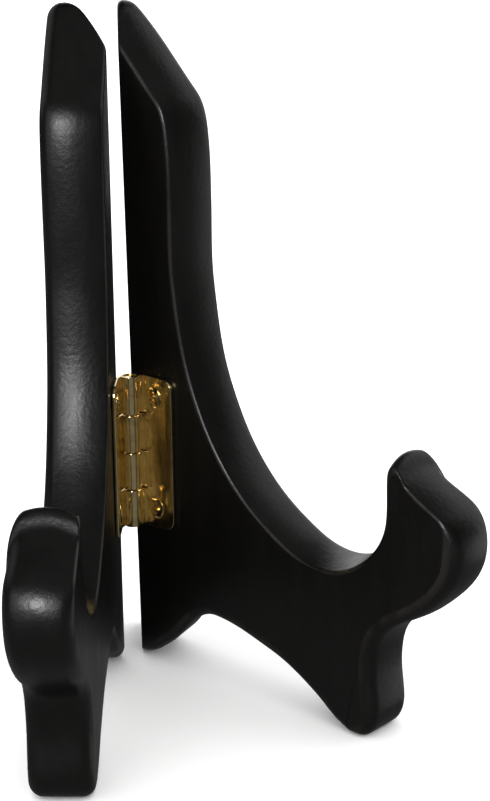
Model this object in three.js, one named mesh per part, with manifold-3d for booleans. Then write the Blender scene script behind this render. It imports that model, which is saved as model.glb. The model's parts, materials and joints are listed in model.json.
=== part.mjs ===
// Folding album stand: two mirrored painted wood sides on one brass butt hinge.
// Millimetres. +Z is up, the front (the hooks) is toward -Y, and x = 0 is the mirror plane.
// Each side is drawn closed, with the hinge pin on the z axis, then turned open about that axis.
import * as THREE from "three";
import { mergeVertices } from "three/addons/utils/BufferGeometryUtils.js";
import Module from "manifold-3d";

const HALF_OPENING = 24.8; // degrees each side is turned away from the mirror plane
const BOARD = 19; // thickness of a side board
const GAP = 0.3; // gap left between two pieces that rest on each other

// Where the pin runs, seen from a board.
const PIN_OFF_BOARD = 4.5; // from the inner face of the board to the pin axis
const PIN_BEFORE_BACK = 3.5; // from the back edge of the inner face forward to the pin axis

// Hinge.
const HINGE_HEIGHT = 50;
const HINGE_MIDDLE = 73; // height of the middle of the hinge above the floor
const LEAF_WIDTH = 14.8; // pin axis to the front edge of a leaf
const LEAF_THICK = 1;
const LEAF_CORNER = 3.6;
const LEAF_BACK = 0.5; // the flat of a leaf ends this far in front of the pin axis
const BARREL_RADIUS = 2.9;
const CRANK_START = 3.4; // in front of the pin axis, where a knuckle arm leaves the flat
const PIN_RADIUS = 1.6;
const KNUCKLES = 4;
const KNUCKLE_GAP = 0.3;

// Screws.
const SCREW_SPREAD = 37; // between the two screws of a leaf
const SCREW_FORWARD = 7.4; // pin axis to the screw axis
const HEAD_RADIUS = 3.1;
const HEAD_DOME = 0.85;
const SHANK_RADIUS = 1.3;
const SCREW_LENGTH = 12.5; // rim to point
const RECESS = { width: 0.7, length: 3.6, depth: 1 };

// Board profile: distance forward of the back edge, height, heading in degrees.
// `soft` corners carry the large round-over on the inner face too.
// `taper` draws a corner in steadily toward the outer face.
// `dome` draws a corner in toward the inner face, or on a soft corner toward both faces.
// The narrow hook tip keeps its shape and slides down as the round-over draws it in.
const BACK_OUTER = 20.5; // the mitred back runs this far behind the inner back edge
const EDGE_CRISP = 0.8;
const EDGE_SOFT = 3.6;
const EDGE_OUTER = 4.2;
const CROWN = 1.2; // the front, the cradle and the slanted top bulge this much at mid thickness
const TIP_CROWN = 1.3;
const TIP_SLIDE = [1, -1.92];
const MITRE_LEAN = 0.6; // degrees the mitred back leans backward, about the middle of the hinge
const PROFILE = [
  { at: [-BACK_OUTER, 6], heading: -90, soft: true, name: "heel back" },
  { at: [-BACK_OUTER + 6, 0], heading: 0, soft: true, flat: true, name: "heel" },
  { at: [-4.5, 0], heading: 0, soft: true, name: "sole end" },
  { at: [1.5, 0.4], heading: 8, soft: true, taper: 1, name: "back foot toe" },
  { at: [11.5, 5.4], heading: 36, soft: true, taper: 3.5, name: "instep" },
  { at: [21.8, 15], heading: 48, soft: true, taper: 5.5, name: "arch rise" },
  { at: [33.5, 22], heading: -2, soft: true, name: "arch top" },
  { at: [56, 17.2], heading: -16, soft: true, name: "arch fall" },
  { at: [74, 8.6], heading: -32, soft: true, name: "front leg back" },
  { at: [86.5, 0.6], heading: -20, soft: true, name: "front foot heel" },
  { at: [88, 0], heading: 0, soft: true, flat: true, name: "front foot" },
  { at: [91.5, 0], heading: 0, soft: true, name: "front foot toe" },
  { at: [97.9, 9.5], heading: 92, soft: true, dome: 0.6, name: "toe front" },
  { at: [96.9, 22.5], heading: 88, soft: true, dome: 0.8, name: "neck" },
  { at: [101.3, 36.1], heading: 46, soft: true, dome: 0.9, name: "neck top" },
  { at: [115.2, 45.9], heading: 41, soft: true, dome: 1.3, name: "under the hook" },
  { at: [126.6, 65], heading: 88, soft: true, dome: 1.5, name: "hook front" },
  { at: [119.8, 77.6], heading: 148, dome: 0.8, name: "hook brow" },
  { at: [108.5, 83.6], heading: 142, slide: TIP_SLIDE, name: "hook slope" },
  { at: [103.7, 88.2], heading: 178, slide: TIP_SLIDE, name: "hook tip" },
  { at: [101.5, 84.6], heading: -92, slide: TIP_SLIDE, name: "hook back top" },
  { at: [101.4, 72], heading: -95, name: "hook back" },
  { at: [92.6, 57], heading: -140, dome: 0.4, name: "cradle front" },
  { at: [77.6, 51.2], heading: 180, dome: 0.6, name: "cradle" },
  { at: [61.7, 55.8], heading: 151, dome: 0.6, name: "cradle back" },
  { at: [42.7, 70.4], heading: 132, dome: 0.8, name: "sweep" },
  { at: [28, 94.8], heading: 113, dome: 1.3, name: "waist" },
  { at: [20.9, 126], heading: 98, dome: 1.9, name: "upright low" },
  { at: [20.1, 153], heading: 91, dome: 2.1, name: "upright" },
  { at: [19.2, 173.5], heading: 97, dome: 2.2, name: "shoulder low" },
  { at: [14.4, 185.9], heading: 135, dome: 2.2, name: "shoulder" },
  { at: [-7.6, 207.9], heading: 140, dome: 2, name: "slope top" },
  { at: [-13.2, 210.9], heading: 180, dome: 1.5, name: "peak" },
  { at: [-BACK_OUTER, 204.5], heading: -90, flat: true, name: "peak back" },
];
const CURVE_STEPS = 4; // points along each curved stretch of the profile

const rad = THREE.MathUtils.degToRad;
const wasm = await Module();
wasm.setup();

// A closed geometry as a solid, and a solid as a geometry again.
function solid(geometry) {
  const bare = new THREE.BufferGeometry();
  bare.setAttribute("position", geometry.getAttribute("position").clone());
  if (geometry.index) bare.setIndex(geometry.index.clone());
  const merged = mergeVertices(bare, 1e-4);
  const vertProperties = merged.attributes.position.array;
  const corners = merged.index.array;
  const kept = [];
  for (let i = 0; i < corners.length; i += 3) {
    const [a, b, c] = corners.slice(i, i + 3);
    if (a !== b && b !== c && c !== a) kept.push(a, b, c);
  }
  const triVerts = new Uint32Array(kept);
  return new wasm.Manifold(new wasm.Mesh({ numProp: 3, vertProperties, triVerts }));
}
function geometryOf(body) {
  const mesh = body.getMesh();
  const geometry = new THREE.BufferGeometry();
  geometry.setAttribute("position", new THREE.BufferAttribute(mesh.vertProperties, 3));
  geometry.setIndex(new THREE.BufferAttribute(mesh.triVerts, 1));
  geometry.computeVertexNormals();
  return geometry;
}

// How far a round-over of radius r has drawn the edge in, at depth x below the face.
function drawnIn(r, x) {
  return x >= r ? 0 : r - Math.sqrt(r * r - (r - x) * (r - x));
}

// The profile at one depth through the board, every corner drawn in along its own normal.
function profileAt(depth) {
  const share = depth / BOARD;
  const middle = 1 - (2 * share - 1) ** 2;
  const corners = PROFILE.map(({ at, heading, soft, taper = 0, dome = 0, slide }) => {
    const inner = drawnIn(soft ? EDGE_SOFT : EDGE_CRISP, depth);
    const outer = drawnIn(EDGE_OUTER, BOARD - depth);
    const bulge = soft ? 0 : slide ? TIP_CROWN : CROWN;
    const domed = dome * (soft ? 1 - middle : (1 - share) ** 2);
    const a = rad(heading);
    const d = inner + outer + taper * share + domed - bulge * middle;
    const [du, dv] = slide ?? [-Math.sin(a), Math.cos(a)];
    const p = new THREE.Vector2(at[0] + d * du, at[1] + d * dv);
    return { p, dir: new THREE.Vector2(Math.cos(a), Math.sin(a)) };
  });
  const points = [];
  corners.forEach((c, i) => {
    const next = corners[(i + 1) % corners.length];
    const reach = c.p.distanceTo(next.p) * 0.36;
    const h1 = c.p.clone().addScaledVector(c.dir, reach);
    const h2 = next.p.clone().addScaledVector(next.dir, -reach);
    const curve = new THREE.CubicBezierCurve(c.p, h1, h2, next.p);
    const steps = PROFILE[i].flat ? 1 : CURVE_STEPS;
    for (let s = 0; s < steps; s++) points.push(curve.getPoint(s / steps));
  });
  return points;
}

// The board: profiles stacked through the thickness, drawn for the right side.
function boardGeometry() {
  const near = [0, 0.2, EDGE_CRISP, 2, EDGE_SOFT];
  const far = [EDGE_OUTER, 2.4, 1.1, 0.3, 0].map((x) => BOARD - x);
  const depths = [...near, 6.5, BOARD / 2, 12.4, ...far];
  const rings = depths.map(profileAt);
  const n = rings[0].length;
  const position = [];
  rings.forEach((ring, j) => {
    for (const p of ring) {
      position.push(PIN_OFF_BOARD + depths[j], PIN_BEFORE_BACK - p.x, p.y);
    }
  });
  const index = [];
  for (let j = 0; j + 1 < rings.length; j++) {
    for (let i = 0; i < n; i++) {
      const a = j * n + i;
      const b = j * n + ((i + 1) % n);
      index.push(a, b + n, b, a, a + n, b + n);
    }
  }
  const capOf = (ring) => THREE.ShapeUtils.triangulateShape(ring, []);
  for (const [a, b, c] of capOf(rings[0])) index.push(a, b, c);
  const last = (rings.length - 1) * n;
  for (const [a, b, c] of capOf(rings.at(-1))) index.push(last + a, last + c, last + b);
  const geometry = new THREE.BufferGeometry();
  geometry.setAttribute("position", new THREE.Float32BufferAttribute(position, 3));
  geometry.setIndex(index);
  return geometry;
}

// A block behind the board that cuts its back edge at 45 degrees.
function mitreGeometry() {
  const size = 80;
  const block = new THREE.BoxGeometry(size, size, 400);
  block.translate(0, size / 2, 0);
  block.rotateX(-rad(MITRE_LEAN));
  block.rotateZ(rad(45));
  block.translate(PIN_OFF_BOARD, PIN_BEFORE_BACK, HINGE_MIDDLE);
  return block;
}

// Turned outline about the x axis: radius against distance into the board.
function turned(outline, segments, y, z) {
  const geometry = new THREE.LatheGeometry(outline, segments);
  geometry.rotateZ(-Math.PI / 2);
  geometry.translate(0, y, z);
  return geometry;
}
const leafFace = PIN_OFF_BOARD - GAP - LEAF_THICK;
const screwHeights = [SCREW_SPREAD / 2, -SCREW_SPREAD / 2].map((h) => HINGE_MIDDLE + h);

// Countersink and pilot hole of a screw, wider than the screw by the gap.
function screwHoleGeometry(z) {
  const rim = HEAD_RADIUS + GAP;
  const pilot = SHANK_RADIUS + GAP;
  const top = leafFace - 1;
  const outline = [
    new THREE.Vector2(0, top),
    new THREE.Vector2(rim, top),
    new THREE.Vector2(rim, leafFace + 0.05),
    new THREE.Vector2(pilot, leafFace + 0.05 + rim - pilot),
    new THREE.Vector2(pilot, leafFace + SCREW_LENGTH - 2),
    new THREE.Vector2(0, leafFace + SCREW_LENGTH + 1),
  ];
  return turned(outline, 24, -SCREW_FORWARD, z);
}

function screwGeometry(z) {
  const outline = [new THREE.Vector2(0, leafFace - HEAD_DOME)];
  for (const t of [0.25, 0.5, 0.72, 0.88, 1]) {
    const drop = HEAD_DOME * Math.sqrt(1 - t * t * 0.96);
    outline.push(new THREE.Vector2(HEAD_RADIUS * t, leafFace - drop + HEAD_DOME * 0.1));
  }
  const neck = leafFace + HEAD_RADIUS - SHANK_RADIUS;
  outline.push(new THREE.Vector2(HEAD_RADIUS, leafFace + 0.15));
  outline.push(new THREE.Vector2(SHANK_RADIUS, neck + 0.15));
  outline.push(new THREE.Vector2(SHANK_RADIUS, leafFace + SCREW_LENGTH - 2.4));
  outline.push(new THREE.Vector2(0, leafFace + SCREW_LENGTH));
  let body = solid(turned(outline, 24, -SCREW_FORWARD, z));
  for (const turn of [0, 90]) {
    const bar = new THREE.BoxGeometry(2 * RECESS.depth, RECESS.width, RECESS.length);
    bar.rotateX(rad(turn + 20));
    bar.translate(leafFace - HEAD_DOME, -SCREW_FORWARD, z);
    body = body.subtract(solid(bar));
  }
  return geometryOf(body);
}

// The flat of a leaf with two rounded front corners.
function leafPlateGeometry() {
  const front = -LEAF_WIDTH;
  const h = HINGE_HEIGHT / 2;
  const r = LEAF_CORNER;
  const shape = new THREE.Shape();
  shape.moveTo(-LEAF_BACK, -h);
  shape.lineTo(-LEAF_BACK, h);
  shape.lineTo(front + r, h);
  shape.absarc(front + r, h - r, r, Math.PI / 2, Math.PI, false);
  shape.lineTo(front, r - h);
  shape.absarc(front + r, r - h, r, Math.PI, Math.PI * 1.5, false);
  shape.closePath();
  const plate = new THREE.ExtrudeGeometry(shape, {
    depth: LEAF_THICK,
    bevelEnabled: false,
    curveSegments: 8,
  });
  // The shape is drawn in (y, z); its thickness runs along x.
  const axes = new THREE.Matrix4().makeBasis(
    new THREE.Vector3(0, 1, 0),
    new THREE.Vector3(0, 0, 1),
    new THREE.Vector3(1, 0, 0),
  );
  plate.applyMatrix4(axes);
  plate.translate(leafFace, 0, HINGE_MIDDLE);
  return plate;
}

// A knuckle: the strip leaves the flat at a bend, climbs to the barrel and curls round the pin.
function knuckleGeometry(zLow, zHigh) {
  const mid = BARREL_RADIUS - LEAF_THICK / 2;
  const bend = new THREE.Vector2(leafFace + LEAF_THICK / 2, -CRANK_START);
  const toAxis = Math.atan2(-bend.y, -bend.x);
  const climb = toAxis - Math.asin(mid / bend.length());
  const start = climb - Math.PI / 2;
  const line = [new THREE.Vector2(bend.x, bend.y - 2), bend];
  const turns = 20;
  const sweep = rad(318);
  for (let i = 0; i <= turns; i++) {
    const a = start + (sweep * i) / turns;
    line.push(new THREE.Vector2(mid * Math.cos(a), mid * Math.sin(a)));
  }
  const side = (sign) =>
    line.map((p, i) => {
      const a = line[Math.max(i - 1, 0)];
      const b = line[Math.min(i + 1, line.length - 1)];
      const along = b.clone().sub(a).normalize();
      const out = new THREE.Vector2(along.y, -along.x);
      return p.clone().addScaledVector(out, (sign * LEAF_THICK) / 2);
    });
  const shape = new THREE.Shape([...side(1), ...side(-1).reverse()]);
  const depth = zHigh - zLow;
  const knuckle = new THREE.ExtrudeGeometry(shape, { depth, bevelEnabled: false });
  knuckle.translate(0, 0, zLow);
  return knuckle;
}

function leafGeometry(owned) {
  let body = solid(leafPlateGeometry());
  const pitch = HINGE_HEIGHT / KNUCKLES;
  const base = HINGE_MIDDLE - HINGE_HEIGHT / 2;
  for (let i = 0; i < KNUCKLES; i++) {
    const low = base + i * pitch + (i > 0 ? KNUCKLE_GAP / 2 : 0);
    const high = base + (i + 1) * pitch - (i + 1 < KNUCKLES ? KNUCKLE_GAP / 2 : 0);
    if (!owned.includes(i)) continue;
    // The flat stops short beside its own knuckles, where the strip bends away.
    const cut = new THREE.BoxGeometry(4, CRANK_START, high - low + KNUCKLE_GAP);
    cut.translate(leafFace, -CRANK_START / 2, (low + high) / 2);
    body = body.subtract(solid(cut)).add(solid(knuckleGeometry(low, high)));
  }
  for (const z of screwHeights) body = body.subtract(solid(screwHoleGeometry(z)));
  return geometryOf(body);
}

function pinGeometry() {
  const half = HINGE_HEIGHT / 2 - 0.3;
  const outline = [
    new THREE.Vector2(0, -half),
    new THREE.Vector2(PIN_RADIUS - 0.2, -half),
    new THREE.Vector2(PIN_RADIUS, 0.2 - half),
    new THREE.Vector2(PIN_RADIUS, half - 0.2),
    new THREE.Vector2(PIN_RADIUS - 0.2, half),
    new THREE.Vector2(0, half),
  ];
  const pin = new THREE.LatheGeometry(outline, 24);
  pin.rotateX(Math.PI / 2);
  pin.translate(0, 0, HINGE_MIDDLE);
  return geometryOf(solid(pin));
}

function mirrored(geometry) {
  const twin = geometry.clone().scale(-1, 1, 1);
  const order = twin.index.array;
  for (let i = 0; i < order.length; i += 3) {
    [order[i + 1], order[i + 2]] = [order[i + 2], order[i + 1]];
  }
  twin.computeVertexNormals();
  return twin;
}

const paint = { color: 0x17130f, roughness: 0.45 };
const brass = { color: 0xb08a3c, roughness: 0.25, metalness: 1 };
function piece(name, geometry, look) {
  const mesh = new THREE.Mesh(geometry, new THREE.MeshStandardMaterial(look));
  mesh.name = name;
  return mesh;
}

let board = solid(boardGeometry()).subtract(solid(mitreGeometry()));
for (const z of screwHeights) board = board.subtract(solid(screwHoleGeometry(z)));
const panel = geometryOf(board);
const screws = screwHeights.map(screwGeometry);
const levels = ["upper", "lower"];

const left = new THREE.Group();
left.name = "left_side";
left.add(piece("left_panel", mirrored(panel), paint));
left.add(piece("left_hinge_leaf", mirrored(leafGeometry([0, 3])), brass));
screws.forEach((g, i) => left.add(piece(`left_screw_${levels[i]}`, mirrored(g), brass)));
left.rotation.z = -rad(HALF_OPENING);

const right = new THREE.Group();
right.name = "right_side";
right.add(piece("right_panel", panel, paint));
right.add(piece("right_hinge_leaf", leafGeometry([1, 2]), brass));
screws.forEach((g, i) => right.add(piece(`right_screw_${levels[i]}`, g, brass)));
right.rotation.z = rad(HALF_OPENING);

const group = new THREE.Group();
group.name = "photo_album_stand";
group.add(left, right, piece("hinge_pin", pinGeometry(), brass));

// The pin axis is moved back so that the footprint is centred on the origin.
const bounds = new THREE.Box3().setFromObject(group, true);
group.position.y = -(bounds.min.y + bounds.max.y) / 2;

export default group;
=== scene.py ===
"""Folding album stand: two black lacquered wood sides on a brass butt hinge.

Lengths are in millimetres in the shape code, and become metres when a mesh is placed.
Each side is drawn closed, with the hinge pin on the z axis and its front toward -Y.
It is then turned open about the pin.
"""

import json
import math

import bmesh
import bpy
import numpy as np
from mathutils import Matrix, Vector


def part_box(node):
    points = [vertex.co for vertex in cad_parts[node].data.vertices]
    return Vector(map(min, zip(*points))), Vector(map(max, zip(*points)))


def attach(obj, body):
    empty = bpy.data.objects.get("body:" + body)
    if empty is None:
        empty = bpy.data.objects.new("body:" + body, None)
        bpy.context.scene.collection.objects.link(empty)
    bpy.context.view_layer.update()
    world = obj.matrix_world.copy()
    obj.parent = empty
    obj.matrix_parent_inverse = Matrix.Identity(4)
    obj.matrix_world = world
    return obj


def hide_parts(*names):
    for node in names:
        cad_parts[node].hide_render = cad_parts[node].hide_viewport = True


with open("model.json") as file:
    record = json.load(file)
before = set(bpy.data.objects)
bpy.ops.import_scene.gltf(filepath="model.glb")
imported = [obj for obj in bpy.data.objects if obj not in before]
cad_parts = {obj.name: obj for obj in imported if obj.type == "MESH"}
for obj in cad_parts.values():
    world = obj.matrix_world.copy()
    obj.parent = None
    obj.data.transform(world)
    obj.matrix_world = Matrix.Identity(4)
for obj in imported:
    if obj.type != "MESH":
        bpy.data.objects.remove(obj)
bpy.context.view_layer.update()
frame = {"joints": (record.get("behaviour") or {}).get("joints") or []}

MM = 0.001
HINGE = frame["joints"][0]["pos_m"]
HALF_OPENING = 24.8
BOARD = 19.0
PIN_OFF_BOARD = 4.5
PIN_BEFORE_BACK = 3.5

# ---------------------------------------------------------------- board shape

BACK_OUTER = 20.5
EDGE_CRISP = 0.8
EDGE_SOFT = 3.6
EDGE_OUTER = 4.2
CROWN = 1.2
TIP_CROWN = 1.3
TIP_SLIDE = (1, -1.92)
HANDLE = 0.36  # Bezier handle length as a share of the distance between corners
SOFT, CRISP, TIP = "soft", "crisp", "tip"
# Distance forward of the back edge, height, heading in degrees, edge, taper, dome.
PROFILE = [
    (-BACK_OUTER, 6, -90, SOFT, 0, 0),
    (-BACK_OUTER + 6, 0, 0, SOFT, 0, 0),
    (-4.5, 0, 0, SOFT, 0, 0),
    (1.5, 0.4, 8, SOFT, 1, 0),
    (11.5, 5.4, 36, SOFT, 3.5, 0),
    (21.8, 15, 48, SOFT, 5.5, 0),
    (33.5, 22, -2, SOFT, 0, 0),
    (56, 17.2, -16, SOFT, 0, 0),
    (74, 8.6, -32, SOFT, 0, 0),
    (86.5, 0.6, -20, SOFT, 0, 0),
    (88, 0, 0, SOFT, 0, 0),
    (91.5, 0, 0, SOFT, 0, 0),
    (97.9, 9.5, 92, SOFT, 0, 0.6),
    (96.9, 22.5, 88, SOFT, 0, 0.8),
    (101.3, 36.1, 46, SOFT, 0, 0.9),
    (115.2, 45.9, 41, SOFT, 0, 1.3),
    (126.6, 65, 88, SOFT, 0, 1.5),
    (119.8, 77.6, 148, CRISP, 0, 0.8),
    (108.5, 83.6, 142, TIP, 0, 0),
    (103.7, 88.2, 178, TIP, 0, 0),
    (101.5, 84.6, -92, TIP, 0, 0),
    (101.4, 72, -95, CRISP, 0, 0),
    (92.6, 57, -140, CRISP, 0, 0.4),
    (77.6, 51.2, 180, CRISP, 0, 0.6),
    (61.7, 55.8, 151, CRISP, 0, 0.6),
    (42.7, 70.4, 132, CRISP, 0, 0.8),
    (28.0, 94.8, 113, CRISP, 0, 1.3),
    (20.9, 126, 98, CRISP, 0, 1.9),
    (20.1, 153, 91, CRISP, 0, 2.1),
    (19.2, 173.5, 97, CRISP, 0, 2.2),
    (14.4, 185.9, 135, CRISP, 0, 2.2),
    (-7.6, 207.9, 140, CRISP, 0, 2.0),
    (-13.2, 210.9, 180, CRISP, 0, 1.5),
    (-BACK_OUTER, 204.5, -90, CRISP, 0, 0),
]
FOOT_TOE = 4  # the first corner that is in front of the mitre at every depth
SHOULDER = 30  # the last one
CURVE_STEPS = 12
MITRE_ROUND = 1.0
MITRE_LEAN = 0.6  # degrees the mitred back leans backward
CORNER_ROUND = 0.5
PEAK_ROUND = 2.4
HINGE_MIDDLE = 73.0
BACK_BLEND = 0.5  # width over which the mitre passes into the back round-over
CAP_INSET = 0.3
DENSE_STEPS = 60  # points along each stretch that is resampled afterwards
SOLE_POINTS, TOP_POINTS, BACK_POINTS = 12, 26, 40
PEAK_POINTS, HEEL_POINTS = 9, 5


def drawn_in(r, x):
    """How far a round-over of radius r draws the edge in, at depth x below the face."""
    return 0.0 if x >= r else r - math.sqrt(max(0.0, r * r - (r - x) ** 2))


def corners_at(depth):
    """Each corner of the profile at a depth through the board, with its heading."""
    found = []
    share = depth / BOARD
    across = (2 * share - 1) ** 2
    for u, v, heading, edge, taper, dome in PROFILE:
        a = math.radians(heading)
        bulge = {SOFT: 0.0, CRISP: CROWN, TIP: TIP_CROWN}[edge]
        d = drawn_in(EDGE_SOFT if edge == SOFT else EDGE_CRISP, depth)
        d += drawn_in(EDGE_OUTER, BOARD - depth) + taper * share
        d += dome * (across if edge == SOFT else (1 - share) ** 2)
        d -= bulge * (1 - across)
        slide = TIP_SLIDE if edge == TIP else (-math.sin(a), math.cos(a))
        found.append((np.array([u + d * slide[0], v + d * slide[1]]), a))
    return found


def stretch(corners, i, steps):
    """Points along the curve from corner i to the next one, without the last."""
    (p, a), (q, b) = corners[i], corners[(i + 1) % len(corners)]
    reach = HANDLE * np.linalg.norm(q - p)
    h1 = p + reach * np.array([math.cos(a), math.sin(a)])
    h2 = q - reach * np.array([math.cos(b), math.sin(b)])
    t = (np.arange(steps) / steps)[:, None]
    s = 1 - t
    return s**3 * p + 3 * s * s * t * h1 + 3 * s * t * t * h2 + t**3 * q


def resample(line, count):
    """The same polyline with count points, evenly spaced, both ends included."""
    line = np.asarray(line)
    run = np.r_[0, np.cumsum(np.linalg.norm(np.diff(line, axis=0), axis=1))]
    at = np.linspace(0, run[-1], count)
    return np.c_[np.interp(at, run, line[:, 0]), np.interp(at, run, line[:, 1])]


def cut_short(line, edge):
    """A polyline that starts in front of u = edge, up to where it first crosses it."""
    beyond = np.nonzero(line[:, 0] < edge)[0]
    if not len(beyond):
        return line
    k = beyond[0]
    a, b = line[k - 1], line[k]
    t = (edge - a[0]) / (b[0] - a[0])
    return np.vstack([line[:k], a + t * (b - a)])


def trim(line, length):
    """A polyline without its last stretch of that length, and the point cut off."""
    run = np.r_[0, np.cumsum(np.linalg.norm(np.diff(line, axis=0), axis=1))]
    end = run[-1] - length
    tip = np.array([np.interp(end, run, line[:, 0]), np.interp(end, run, line[:, 1])])
    return np.vstack([line[run < end], tip])


def back_line(depth, height):
    """Where the back edge lies at a height: on the mitre or on the round-over."""
    tangent = MITRE_ROUND * math.tan(math.radians(22.5))
    mitre = -depth
    if depth < tangent / math.sqrt(2):
        mitre = tangent - math.sqrt(MITRE_ROUND**2 - (MITRE_ROUND - depth) ** 2)
    lean = math.tan(math.radians(MITRE_LEAN)) * math.sqrt(2)
    mitre -= lean * (height - HINGE_MIDDLE)
    back = -BACK_OUTER + drawn_in(EDGE_OUTER, BOARD - depth)
    back += drawn_in(EDGE_SOFT, depth)
    h = max(BACK_BLEND - abs(mitre - back), 0) / BACK_BLEND
    return max(max(mitre, back) + h * h * BACK_BLEND / 4, back + 0.02)


def rounded(a, corner, b, count):
    """A small curve from a to b that replaces a corner."""
    t = np.linspace(0, 1, count)[:, None]
    return (1 - t) ** 2 * a + 2 * t * (1 - t) * corner + t * t * b


def ring_at(depth):
    """The closed outline of the board at one depth, always with the same point count."""
    corners = corners_at(depth)
    sole = np.vstack([stretch(corners, i, DENSE_STEPS) for i in range(FOOT_TOE)])
    sole = np.vstack([sole, corners[FOOT_TOE][0]])[::-1]
    last = range(SHOULDER, len(PROFILE))
    top = np.vstack([stretch(corners, i, DENSE_STEPS) for i in last])
    sole = cut_short(sole, back_line(depth, 0))
    top = cut_short(top, back_line(depth, PROFILE[-2][1]))
    low, high = sole[-1], top[-1]
    sole, top = trim(sole, CORNER_ROUND), trim(top, PEAK_ROUND)
    heights = np.linspace(high[1] - PEAK_ROUND, low[1] + CORNER_ROUND, BACK_POINTS)
    back = np.array([(back_line(depth, h), h) for h in heights])
    parts = [
        resample(sole, SOLE_POINTS)[::-1][:-1],
        *[stretch(corners, i, CURVE_STEPS) for i in range(FOOT_TOE, SHOULDER)],
        resample(top, TOP_POINTS)[:-1],
        rounded(top[-1], high, back[0], PEAK_POINTS)[:-1],
        back[:-1],
        rounded(back[-1], low, sole[-1], HEEL_POINTS)[:-1],
    ]
    return np.vstack(parts)


def inset(ring, by):
    """The same outline, moved inward by a small distance."""
    along = np.roll(ring, -1, axis=0) - np.roll(ring, 1, axis=0)
    along /= np.linalg.norm(along, axis=1)[:, None]
    return ring + by * np.c_[-along[:, 1], along[:, 0]]


def round_steps(r, count):
    """Depths at which a round-over of radius r is drawn, closest near the face."""
    return [r * (1 - math.cos(math.pi / 2 * i / count)) for i in range(count + 1)]


def board_mesh():
    """Vertices and faces of the right board, with an edge mask for its crisp edges."""
    near = round_steps(EDGE_CRISP, 6) + round_steps(EDGE_SOFT, 10)
    near = sorted({round(x, 3) for x in near})
    far = [BOARD - x for x in round_steps(EDGE_OUTER, 11)][::-1]
    between = list(np.linspace(EDGE_SOFT, BOARD - EDGE_OUTER, 10)[1:-1])
    depths = near + between + far
    rings = [(d, ring_at(d)) for d in depths]
    first = (0.0, inset(rings[0][1], CAP_INSET))
    last = (BOARD, inset(rings[-1][1], CAP_INSET))
    rings = [first] + rings + [last]
    n = len(rings[0][1])
    verts, mask = [], []
    for depth, ring in rings:
        for u, v in ring:
            verts.append((PIN_OFF_BOARD + depth, PIN_BEFORE_BACK - u, v))
            mask.append(max(0.0, 1 - depth / EDGE_CRISP))
    mask[:n] = [0.0] * n
    faces = []
    for j in range(len(rings) - 1):
        for i in range(n):
            a, b = j * n + i, j * n + (i + 1) % n
            faces.append((a, a + n, b + n, b))
    faces.append(tuple(range(n)))
    faces.append(tuple(range((len(rings) - 1) * n, len(rings) * n))[::-1])
    return verts, faces, mask


# ---------------------------------------------------------------- placing pieces


def finish_mesh(mesh, mirror, turn, node):
    """Turns a mesh drawn in millimetres about the closed pin into its place.

    No vertex is left outside the box of the CAD node that the mesh stands for.
    """
    bm = bmesh.new()
    bm.from_mesh(mesh)
    if mirror:
        bmesh.ops.scale(bm, vec=(-1, 1, 1), verts=bm.verts)
    bmesh.ops.recalc_face_normals(bm, faces=bm.faces)
    spin = Matrix.Rotation(math.radians(-turn if mirror else turn), 4, "Z")
    place = Matrix.Translation((HINGE[0], HINGE[1], 0)) @ spin @ Matrix.Scale(MM, 4)
    bmesh.ops.transform(bm, matrix=place, verts=bm.verts)
    lo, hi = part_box(node)
    for v in bm.verts:
        v.co = Vector(min(max(v.co[k], lo[k]), hi[k]) for k in range(3))
    bm.to_mesh(mesh)
    bm.free()
    mesh.polygons.foreach_set("use_smooth", [True] * len(mesh.polygons))
    mesh.update()


def add_piece(
    name, mesh, node, body, slot, material, sharp=None, mirror=False, turn=HALF_OPENING
):
    finish_mesh(mesh, mirror, turn, node)
    if sharp:
        mesh.set_sharp_from_angle(angle=math.radians(sharp))
    mesh.materials.clear()
    mesh.materials.append(material)
    mesh.name = name
    obj = bpy.data.objects.new(name, mesh)
    bpy.context.scene.collection.objects.link(obj)
    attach(obj, body)
    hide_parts(node)


def mesh_from(verts, faces):
    mesh = bpy.data.meshes.new("part")
    mesh.from_pydata([tuple(v) for v in verts], [], faces)
    mesh.update()
    return mesh


# ---------------------------------------------------------------- hinge and screws

HINGE_HEIGHT = 50.0
LEAF_WIDTH = 14.8
LEAF_THICK = 1.0
LEAF_CORNER = 3.6
LEAF_BACK = 0.5
LEAF_OFF_BOARD = 0.3
LEAF_EDGE = 0.14  # bevel on the edges of the sheet
BARREL_RADIUS = 2.9
CRANK_START = 3.4
CRANK_ROUND = 1.4
CURL_SWEEP = 318.0
PIN_RADIUS = 1.6
KNUCKLES = 4
KNUCKLE_GAP = 0.45
SCREW_SPREAD = 37.0
SCREW_FORWARD = 7.4
HEAD_RADIUS = 3.1
HEAD_DOME = 0.85
SHANK_RADIUS = 1.3
SCREW_LENGTH = 12.5
HOLE_RADIUS = SHANK_RADIUS + 1.3
HOLE_CLEARANCE = 0.12
HOLE_STEPS = 48
SLOT_DEPTH = 0.3  # how far a slot between knuckles runs into the flat of the sheet
CORNER_STEPS = 12
CRANK_CUTS, CURL_CUTS = 5, 40
PIN_SHORT = 0.3
PIN_ROUND = 0.22
RECESS_WIDE, RECESS_LONG, RECESS_DEEP = 0.42, 1.95, 1.25
HEAD_STEPS = 14
THREAD_TURNS = 10
THREAD_DEEP = 0.28
LEAF_FACE = PIN_OFF_BOARD - LEAF_OFF_BOARD - LEAF_THICK
SCREW_HEIGHTS = [HINGE_MIDDLE + SCREW_SPREAD / 2, HINGE_MIDDLE - SCREW_SPREAD / 2]


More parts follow.
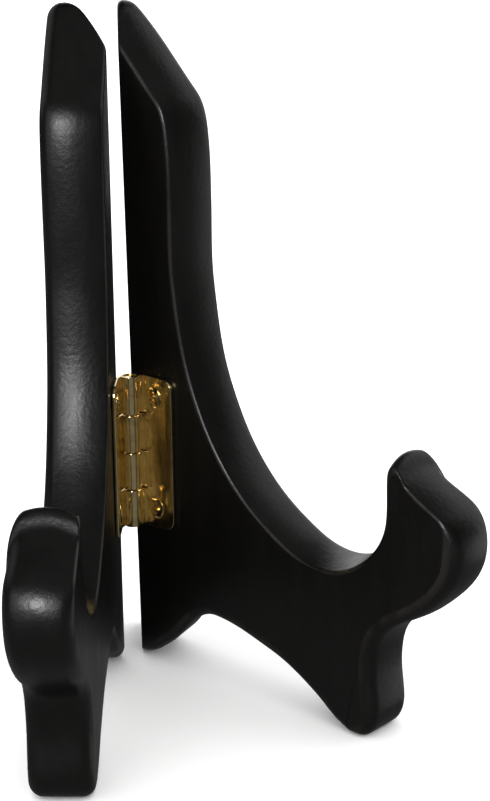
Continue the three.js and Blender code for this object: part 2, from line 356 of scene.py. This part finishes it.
def strip_path():
    """Stretches of the bent sheet's middle line, as (length, turn in radians)."""
    mid = BARREL_RADIUS - LEAF_THICK / 2
    bend = Vector((LEAF_FACE + LEAF_THICK / 2, -CRANK_START))
    to_axis = math.atan2(-bend.y, -bend.x)
    climb = to_axis - math.asin(mid / bend.length) - math.pi / 2
    reach = CRANK_ROUND * math.tan(climb / 2)
    straight = math.sqrt(bend.length_squared - mid * mid)
    return [
        (LEAF_WIDTH - CRANK_START - reach, 0.0),
        (CRANK_ROUND * climb, climb),
        (straight - reach, 0.0),
        (mid * math.radians(CURL_SWEEP), math.radians(CURL_SWEEP)),
    ]


def bent(s):
    """Where the sheet's middle line is after s millimetres, and its heading."""
    at = Vector((LEAF_FACE + LEAF_THICK / 2, -LEAF_WIDTH))
    heading = math.pi / 2
    for length, turn in strip_path():
        part = min(s, length)
        if turn:
            r = length / turn
            a = part / r
            along = math.sin(heading + a) - math.sin(heading)
            aside = math.cos(heading) - math.cos(heading + a)
            at += r * Vector((along, aside))
            heading += a
        else:
            at += part * Vector((math.cos(heading), math.sin(heading)))
        s -= part
        if s <= 1e-9:
            break
    return at, heading


def leaf_blank(owned):
    """Outline of the flat sheet before it is bent: distance from its front edge, height."""
    low = HINGE_MIDDLE - HINGE_HEIGHT / 2
    pitch = HINGE_HEIGHT / KNUCKLES
    tab = sum(length for length, _ in strip_path())
    root = LEAF_WIDTH - CRANK_START - SLOT_DEPTH
    flat = LEAF_WIDTH - LEAF_BACK
    half = KNUCKLE_GAP / 2
    line = []
    for i in range(KNUCKLES):
        far = tab if i in owned else flat
        line += [(far, low + i * pitch + (half if i else 0))]
        line += [(far, low + (i + 1) * pitch - (half if i + 1 < KNUCKLES else 0))]
        if i + 1 < KNUCKLES and (i in owned or i + 1 in owned):
            y = low + (i + 1) * pitch
            line += [(root, y - half), (root, y + half)]
    top = low + HINGE_HEIGHT
    r = LEAF_CORNER
    for k in range(CORNER_STEPS + 1):
        a = math.pi / 2 * (1 + k / CORNER_STEPS)
        line.append((r + r * math.cos(a), top - r + r * math.sin(a)))
    for k in range(CORNER_STEPS + 1):
        a = math.pi * (1 + k / (2 * CORNER_STEPS))
        line.append((r + r * math.cos(a), low + r + r * math.sin(a)))
    return line


def spline(curve, line):
    """Adds a closed outline to a curve."""
    s = curve.splines.new("POLY")
    s.points.add(len(line) - 1)
    for p, (x, y) in zip(s.points, line):
        p.co = (x, y, 0, 1)
    s.use_cyclic_u = True


def leaf_mesh(owned):
    """A sheet blank with bevelled edges and countersunk holes, bent into its knuckles."""
    curve = bpy.data.curves.new("blank", "CURVE")
    curve.dimensions = "2D"
    curve.fill_mode = "BOTH"
    curve.extrude = LEAF_THICK / 2 - LEAF_EDGE
    curve.bevel_depth = LEAF_EDGE
    curve.bevel_resolution = 2
    curve.offset = -LEAF_EDGE
    spline(curve, leaf_blank(owned))
    hole = HOLE_RADIUS
    centre = LEAF_WIDTH - SCREW_FORWARD
    for z in SCREW_HEIGHTS:
        turns = [2 * math.pi * k / HOLE_STEPS for k in range(HOLE_STEPS)]
        ring = [(centre + hole * math.cos(a), z + hole * math.sin(a)) for a in turns]
        spline(curve, ring)
    holder = bpy.data.objects.new("blank", curve)
    bpy.context.scene.collection.objects.link(holder)
    bpy.context.view_layer.update()
    dg = bpy.context.evaluated_depsgraph_get()
    mesh = bpy.data.meshes.new_from_object(holder.evaluated_get(dg))
    bpy.data.objects.remove(holder)
    bpy.data.curves.remove(curve)
    bm = bmesh.new()
    bm.from_mesh(mesh)
    bmesh.ops.remove_doubles(bm, verts=bm.verts, dist=1e-3)
    flat, crank, straight, curl = (length for length, _ in strip_path())
    cuts = [flat + crank * k / CRANK_CUTS for k in range(CRANK_CUTS + 1)]
    cuts += [flat + crank + straight + curl * k / CURL_CUTS for k in range(CURL_CUTS)]
    for s in cuts:
        geom = bm.verts[:] + bm.edges[:] + bm.faces[:]
        bmesh.ops.bisect_plane(
            bm, geom=geom, dist=1e-4, plane_co=(s, 0, 0), plane_no=(1, 0, 0)
        )
    for v in bm.verts:
        for z in SCREW_HEIGHTS:
            out = Vector((v.co.x - centre, v.co.y - z))
            if out.length < HEAD_RADIUS + 0.6:
                # 90 degree countersink, widest at the visible face, which is the low side
                depth = v.co.z + LEAF_THICK / 2
                grow = HEAD_RADIUS + HOLE_CLEARANCE - depth - hole + LEAF_THICK * 0.05
                out *= 1 + grow / out.length
                v.co.x, v.co.y = centre + out.x, z + out.y
    for v in bm.verts:
        at, heading = bent(v.co.x)
        side = Vector((math.sin(heading), -math.cos(heading)))
        at = at + side * v.co.z
        v.co = Vector((at.x, at.y, v.co.y))
    bm.to_mesh(mesh)
    bm.free()
    return mesh


def turned(outline, segments, axis):
    """A turned solid: outline is (distance along the axis, radius), axis is "X" or "Z"."""
    verts, faces, rows = [], [], []
    for x, r in outline:
        row = []
        count = 1 if r == 0 else segments
        for k in range(count):
            a = 2 * math.pi * k / segments
            c, s = r * math.cos(a), r * math.sin(a)
            row.append(len(verts))
            verts.append((x, c, s) if axis == "X" else (c, s, x))
        rows.append(row)
    for a, b in zip(rows, rows[1:]):
        for k in range(segments):
            m = (k + 1) % segments
            if len(a) == 1:
                faces.append((a[0], b[k], b[m]))
            elif len(b) == 1:
                faces.append((a[k], b[0], a[m]))
            else:
                faces.append((a[k], b[k], b[m], a[m]))
    return verts, faces


def pin_mesh():
    """The hinge pin, a rod with rounded ends."""
    half = HINGE_HEIGHT / 2 - PIN_SHORT
    r = PIN_RADIUS
    ends = []
    for a in (0, 0.5, 1.05, math.pi / 2):
        drop, draw = PIN_ROUND * (1 - math.sin(a)), PIN_ROUND * (1 - math.cos(a))
        ends.append((half - drop, r - draw))
    up = [(HINGE_MIDDLE + x, q) for x, q in ends]
    down = [(HINGE_MIDDLE - x, q) for x, q in ends[::-1]]
    outline = [(HINGE_MIDDLE - half, 0)] + down + up + [(HINGE_MIDDLE + half, 0)]
    return mesh_from(*turned(outline, 40, "Z"))


def recess_cutter(z, turn):
    """A cross-shaped prism that narrows with depth, for a cross recess."""
    wide, long, deep = RECESS_WIDE, RECESS_LONG, RECESS_DEEP
    ring = []
    for q in range(4):
        c, s = math.cos(turn + q * math.pi / 2), math.sin(turn + q * math.pi / 2)
        for x, y in ((long, -wide), (long, wide), (wide, wide)):
            ring.append((x * c - y * s, x * s + y * c))
    verts, faces = [], []
    for depth, size in ((-0.6, 1.18), (deep, 0.62)):
        for y, h in ring:
            x = LEAF_FACE - HEAD_DOME + depth
            verts.append((x, size * y - SCREW_FORWARD, z + size * h))
    n = len(ring)
    for i in range(n):
        j = (i + 1) % n
        faces.append((i, j, n + j, n + i))
    faces += [tuple(range(n))[::-1], tuple(range(n, 2 * n))]
    return verts, faces


def screw_mesh(z, turn):
    """A countersunk wood screw with a domed head and a cross recess, at height z."""
    outline = [(LEAF_FACE - HEAD_DOME, 0)]
    for k in range(1, HEAD_STEPS + 1):
        t = k / HEAD_STEPS
        drop = HEAD_DOME * math.sqrt(1 - t * t * 0.96)
        outline.append((LEAF_FACE - drop + HEAD_DOME * 0.1, HEAD_RADIUS * t))
    outline += [
        (LEAF_FACE + 0.02, HEAD_RADIUS),
        (LEAF_FACE + 0.15, HEAD_RADIUS - 0.03),
        (LEAF_FACE + 0.15 + HEAD_RADIUS - SHANK_RADIUS, SHANK_RADIUS),
    ]
    # The thread: ridges along the shank, which is hidden in the board.
    start, end = LEAF_FACE + 4, LEAF_FACE + SCREW_LENGTH - 2.4
    for k in range(THREAD_TURNS + 1):
        x = start + (end - start) * k / THREAD_TURNS
        outline += [(x, SHANK_RADIUS - THREAD_DEEP), (x + 0.2, SHANK_RADIUS)]
    outline.append((LEAF_FACE + SCREW_LENGTH, 0))
    verts, faces = turned(outline, 64, "X")
    verts = [(x, y - SCREW_FORWARD, h + z) for x, y, h in verts]
    made = [mesh_from(verts, faces), mesh_from(*recess_cutter(z, turn))]
    pair = []
    for mesh in made:
        bm = bmesh.new()
        bm.from_mesh(mesh)
        bmesh.ops.recalc_face_normals(bm, faces=bm.faces)
        bm.to_mesh(mesh)
        bm.free()
        obj = bpy.data.objects.new("cut", mesh)
        bpy.context.scene.collection.objects.link(obj)
        pair.append(obj)
    cut = pair[0].modifiers.new("recess", "BOOLEAN")
    cut.operation, cut.object, cut.solver = "DIFFERENCE", pair[1], "EXACT"
    dg = bpy.context.evaluated_depsgraph_get()
    result = bpy.data.meshes.new_from_object(pair[0].evaluated_get(dg))
    for obj in pair:
        bpy.data.objects.remove(obj)
    return result


# ---------------------------------------------------------------- materials


class Nodes:
    """A material's node tree, with short calls to add and link nodes."""

    def __init__(self, name):
        self.material = bpy.data.materials.new(name)
        self.material.use_nodes = True
        self.tree = self.material.node_tree
        self.shader = self.tree.nodes["Principled BSDF"]
        self.where = self.tree.nodes.new("ShaderNodeTexCoord").outputs["Object"]

    def add(self, kind, links=None, **values):
        node = self.tree.nodes.new(kind)
        for key, value in values.items():
            setattr(node, key, value)
        for key, socket in (links or {}).items():
            self.tree.links.new(socket, node.inputs[key])
        return node

    def noise(self, scale, stretch=(1, 1, 1), detail=2.0, roughness=0.5, distort=0.0):
        """Noise in object space. A stretch below 1 draws it out along that axis."""
        scaled = self.add("ShaderNodeMapping", {"Vector": self.where})
        scaled.inputs["Scale"].default_value = stretch
        made = self.add("ShaderNodeTexNoise", {"Vector": scaled.outputs["Vector"]})
        made.inputs["Scale"].default_value = scale
        made.inputs["Detail"].default_value = detail
        made.inputs["Roughness"].default_value = roughness
        made.inputs["Distortion"].default_value = distort
        return made.outputs["Fac"]

    def ramp(self, value, stops):
        """Maps a value to colours, or greys, given as (position, colour)."""
        made = self.add("ShaderNodeValToRGB", {"Fac": value})
        elements = made.color_ramp.elements
        while len(elements) < len(stops):
            elements.new(0.5)
        for element, (at, colour) in zip(elements, stops):
            element.position = at
            grey = isinstance(colour, (int, float))
            element.color = (colour, colour, colour, 1) if grey else (*colour, 1)
        return made.outputs["Color"]

    def mix(self, fac, a, b):
        """Mixes two colours by a factor. Each of the three may be a socket."""
        made = self.add("ShaderNodeMix", data_type="RGBA")
        for key, value in (("Factor", fac), ("A", a), ("B", b)):
            target = [i for i in made.inputs if i.name == key and i.enabled][0]
            if isinstance(value, bpy.types.NodeSocket):
                self.tree.links.new(value, target)
            elif key == "Factor":
                target.default_value = value
            else:
                target.default_value = (*value, 1)
        return [o for o in made.outputs if o.enabled][0]

    def maths(self, operation, a, b):
        """One maths node. Each of the two values may be a socket."""
        made = self.add("ShaderNodeMath", operation=operation)
        for k, value in enumerate((a, b)):
            if isinstance(value, bpy.types.NodeSocket):
                self.tree.links.new(value, made.inputs[k])
            else:
                made.inputs[k].default_value = value
        return made.outputs[0]

    def bump(self, height, distance, strength=1.0, after=None):
        """A bump up to `distance` metres high, on top of the normal `after`."""
        made = self.add("ShaderNodeBump", {"Height": height})
        made.inputs["Distance"].default_value = distance
        made.inputs["Strength"].default_value = strength
        if after:
            self.tree.links.new(after, made.inputs["Normal"])
        return made.outputs["Normal"]

    def plug(self, **sockets):
        """Sets or links the shader's own sockets."""
        for key, value in sockets.items():
            target = self.shader.inputs[key.replace("_", " ")]
            if isinstance(value, bpy.types.NodeSocket):
                self.tree.links.new(value, target)
            else:
                target.default_value = value


LACQUER_DARK = (0.0020, 0.0018, 0.0015)
LACQUER_PALE = (0.0037, 0.0032, 0.0026)
LACQUER_CLOUD = (0.0030, 0.0026, 0.0021)
# Lighter lacquer for the crisp edges: partly wear, partly a painted highlight.
LACQUER_WEAR_AND_SHEEN = (0.012, 0.010, 0.008)
BRASS_DEEP = (0.84, 0.65, 0.31)
BRASS_PALE = (0.94, 0.77, 0.42)
BRASS_TARNISH = (0.50, 0.34, 0.14)
FLOOR_DARK = (0.925, 0.925, 0.925)
FLOOR_PALE = (0.945, 0.945, 0.945)


def black_wood():
    """Satin black lacquer: orange peel, faint long grain under it, and crisp edges painted
    lighter in patches, partly wear and partly a painted highlight.
    """
    n = Nodes("black_wood")
    grain = n.noise(260, (1, 1, 0.05), detail=5, roughness=0.6, distort=0.3)
    pores = n.noise(900, (1, 1, 0.045), detail=2, roughness=0.5)
    peel = n.noise(620, detail=2.5, roughness=0.55)
    cloud = n.noise(34, detail=3, roughness=0.6)
    tone = n.ramp(grain, [(0.3, LACQUER_DARK), (0.75, LACQUER_PALE)])
    tone = n.mix(n.ramp(cloud, [(0.35, 0.0), (0.7, 0.45)]), tone, LACQUER_CLOUD)
    edge = n.add("ShaderNodeAttribute", attribute_name="edge").outputs["Fac"]
    wear_and_sheen_patches = n.ramp(n.noise(120, (1, 1, 0.3), detail=4), [(0.45, 0.0), (0.62, 1.0)])
    # Crisp edges painted lighter in patches: partly wear, partly a painted highlight
    # standing in for the bright line of light along those edges.
    tone = n.mix(n.maths("MULTIPLY", edge, wear_and_sheen_patches), tone, LACQUER_WEAR_AND_SHEEN)
    rough = n.ramp(n.noise(150, (1, 1, 0.4), detail=4), [(0.3, 0.32), (0.7, 0.40)])
    normal = n.bump(peel, 0.00012, 0.7)
    normal = n.bump(grain, 0.00003, 0.35, normal)
    normal = n.bump(pores, 0.00002, 0.25, normal)
    n.plug(Base_Color=tone, Roughness=rough, Normal=normal)
    n.plug(IOR=1.5, Specular_IOR_Level=0.3)
    return n.material


def brass(name, shine, tarnish):
    """Polished lacquered brass with rolling lines along its length and brown spots."""
    n = Nodes(name)
    lines = n.noise(700, (1, 1, 0.03), detail=4, roughness=0.6)
    cloud = n.noise(150, detail=4, roughness=0.6)
    wave = n.noise(95, detail=1.5)
    tone = n.ramp(cloud, [(0.3, BRASS_DEEP), (0.7, BRASS_PALE)])
    speckle = n.noise(330, detail=5, roughness=0.65)
    spots = n.ramp(speckle, [(0.52, 0.0), (0.66, tarnish)])
    tone = n.mix(spots, tone, BRASS_TARNISH)
    streaks = n.noise(420, (1, 1, 0.25), detail=4)
    rough = n.ramp(streaks, [(0.3, shine), (0.75, shine + 0.10)])
    normal = n.bump(wave, 0.0002, 0.35)
    normal = n.bump(lines, 0.00002, 0.3, normal)
    n.plug(Base_Color=tone, Metallic=1.0, Roughness=rough, Normal=normal)
    return n.material


def plain_floor():
    """Matt, nearly white, with a slight unevenness."""
    n = Nodes("floor")
    tone = n.ramp(n.noise(3, detail=2), [(0.3, FLOOR_DARK), (0.7, FLOOR_PALE)])
    n.plug(Base_Color=tone, Roughness=0.9, Specular_IOR_Level=0.0)
    return n.material


wood = black_wood()
leaf_brass = brass("hinge_brass", 0.13, 0.5)
screw_brass = brass("screw_brass", 0.10, 0.25)

# ---------------------------------------------------------------- the pieces

# Name, whether it is mirrored, and its knuckles, counted from the bottom.
SIDES = [("left", True, (0, 3)), ("right", False, (1, 2))]
SCREW_TURNS = (0.35, 0.9)  # how far the cross recesses are turned, in radians
SMOOTH_LEAF, SMOOTH_SCREW, SMOOTH_PIN = 34, 30, 40  # sharper edges stay sharp, in degrees
for side, mirror, owned in SIDES:
    body = side + "_side"
    verts, faces, mask = board_mesh()
    mesh = mesh_from(verts, faces)
    mesh.attributes.new("edge", "FLOAT", "POINT").data.foreach_set("value", mask)
    node = side + "_panel"
    add_piece(side + "_board", mesh, node, body, "black_wood", wood, mirror=mirror)
    leaf, node = leaf_mesh(owned), side + "_hinge_leaf"
    look = ("hinge_brass", leaf_brass, SMOOTH_LEAF)
    add_piece(side + "_leaf", leaf, node, body, *look, mirror)
    for level, z, turn in zip(("upper", "lower"), SCREW_HEIGHTS, SCREW_TURNS):
        screw = screw_mesh(z, turn if mirror else turn + 0.5)
        node = f"{side}_screw_{level}"
        look = ("screw_brass", screw_brass, SMOOTH_SCREW)
        add_piece(node + "_brass", screw, node, body, *look, mirror)
look = ("hinge_brass", leaf_brass, SMOOTH_PIN)
add_piece("pin", pin_mesh(), "hinge_pin", "left_side", *look, turn=0)

# ---------------------------------------------------------------- floor, light, camera

FLOOR_SIZE = 24
WORLD_STRENGTH = 1.8
LIGHT_AIM = Vector((0.0, 0.0, 0.1))
CAMERA_AZIMUTH, CAMERA_ELEVATION, CAMERA_ROLL = 23.325, 16.981, -0.561
CAMERA_DISTANCE = 0.56196
CAMERA_LENS = 79.25
CAMERA_AIM = Vector((0.03515, HINGE[1] - 0.01012, 0.08798))

bm = bmesh.new()
bmesh.ops.create_grid(bm, x_segments=8, y_segments=8, size=FLOOR_SIZE / 2)
floor_mesh = bpy.data.meshes.new("floor")
bm.to_mesh(floor_mesh)
bm.free()
floor = bpy.data.objects.new("floor", floor_mesh)
bpy.context.scene.collection.objects.link(floor)
floor_mesh.materials.append(plain_floor())
floor.visible_glossy = False
floor.visible_shadow = False

world = bpy.data.worlds.new("studio")
bpy.context.scene.world = world
world.use_nodes = True
background = world.node_tree.nodes["Background"]
background.inputs["Color"].default_value = (1, 1, 1, 1)
background.inputs["Strength"].default_value = WORLD_STRENGTH
world.cycles_visibility.glossy = False


def direction(azimuth, elevation):
    """A unit vector away from the object. Azimuth 0 is in front, 90 on the left side."""
    a, e = math.radians(azimuth), math.radians(elevation)
    return Vector((-math.sin(a) * math.cos(e), -math.cos(a) * math.cos(e), math.sin(e)))


def soft_light(name, azimuth, elevation, distance, size, power):
    """A soft rectangular light that only shows in reflections."""
    data = bpy.data.lights.new(name, "AREA")
    data.shape = "RECTANGLE"
    data.size, data.size_y = size
    data.energy = power
    obj = bpy.data.objects.new(name, data)
    bpy.context.scene.collection.objects.link(obj)
    away = direction(azimuth, elevation)
    obj.location = LIGHT_AIM + away * distance
    obj.rotation_euler = away.to_track_quat("Z", "Y").to_euler()
    obj.visible_diffuse = False
    obj.visible_camera = False


# Name, azimuth, elevation, distance in metres, size in metres, power in watts.
soft_light("key", 31, 25, 1.3, (0.24, 0.40), 16)
soft_light("left_fill", 72, 20, 1.6, (1.2, 1.2), 6.5)
soft_light("top", 0, 85, 1.6, (1.6, 1.6), 1.3)
soft_light("right_fill", -98, 26, 1.8, (1.4, 1.8), 8.5)
soft_light("right_low", -84, -14, 1.8, (1.6, 0.8), 3.0)
soft_light("back_right", 206, 12, 1.6, (1.6, 1.2), 7.5)
soft_light("back_left", 150, 25, 1.8, (1.2, 1.2), 1.7)
soft_light("under", 0, -90, 0.12, (3.0, 3.0), 4.2)

camera_data = bpy.data.cameras.new("camera")
camera_data.sensor_width = 36
camera_data.lens = CAMERA_LENS
camera = bpy.data.objects.new("camera", camera_data)
bpy.context.scene.collection.objects.link(camera)
roll = math.radians(CAMERA_ROLL)
toward = direction(CAMERA_AZIMUTH, CAMERA_ELEVATION)
across = Vector((0, 0, 1)).cross(toward).normalized()
lift = toward.cross(across)
right = across * math.cos(roll) + lift * math.sin(roll)
up = lift * math.cos(roll) - across * math.sin(roll)
turn = Matrix((right, up, toward)).transposed()
place = CAMERA_AIM + toward * CAMERA_DISTANCE
camera.matrix_world = Matrix.Translation(place) @ turn.to_4x4()
camera_data.clip_start, camera_data.clip_end = 0.01, 100
bpy.context.scene.camera = camera
bpy.context.scene.view_settings.view_transform = "Standard"

bpy.context.view_layer.update()
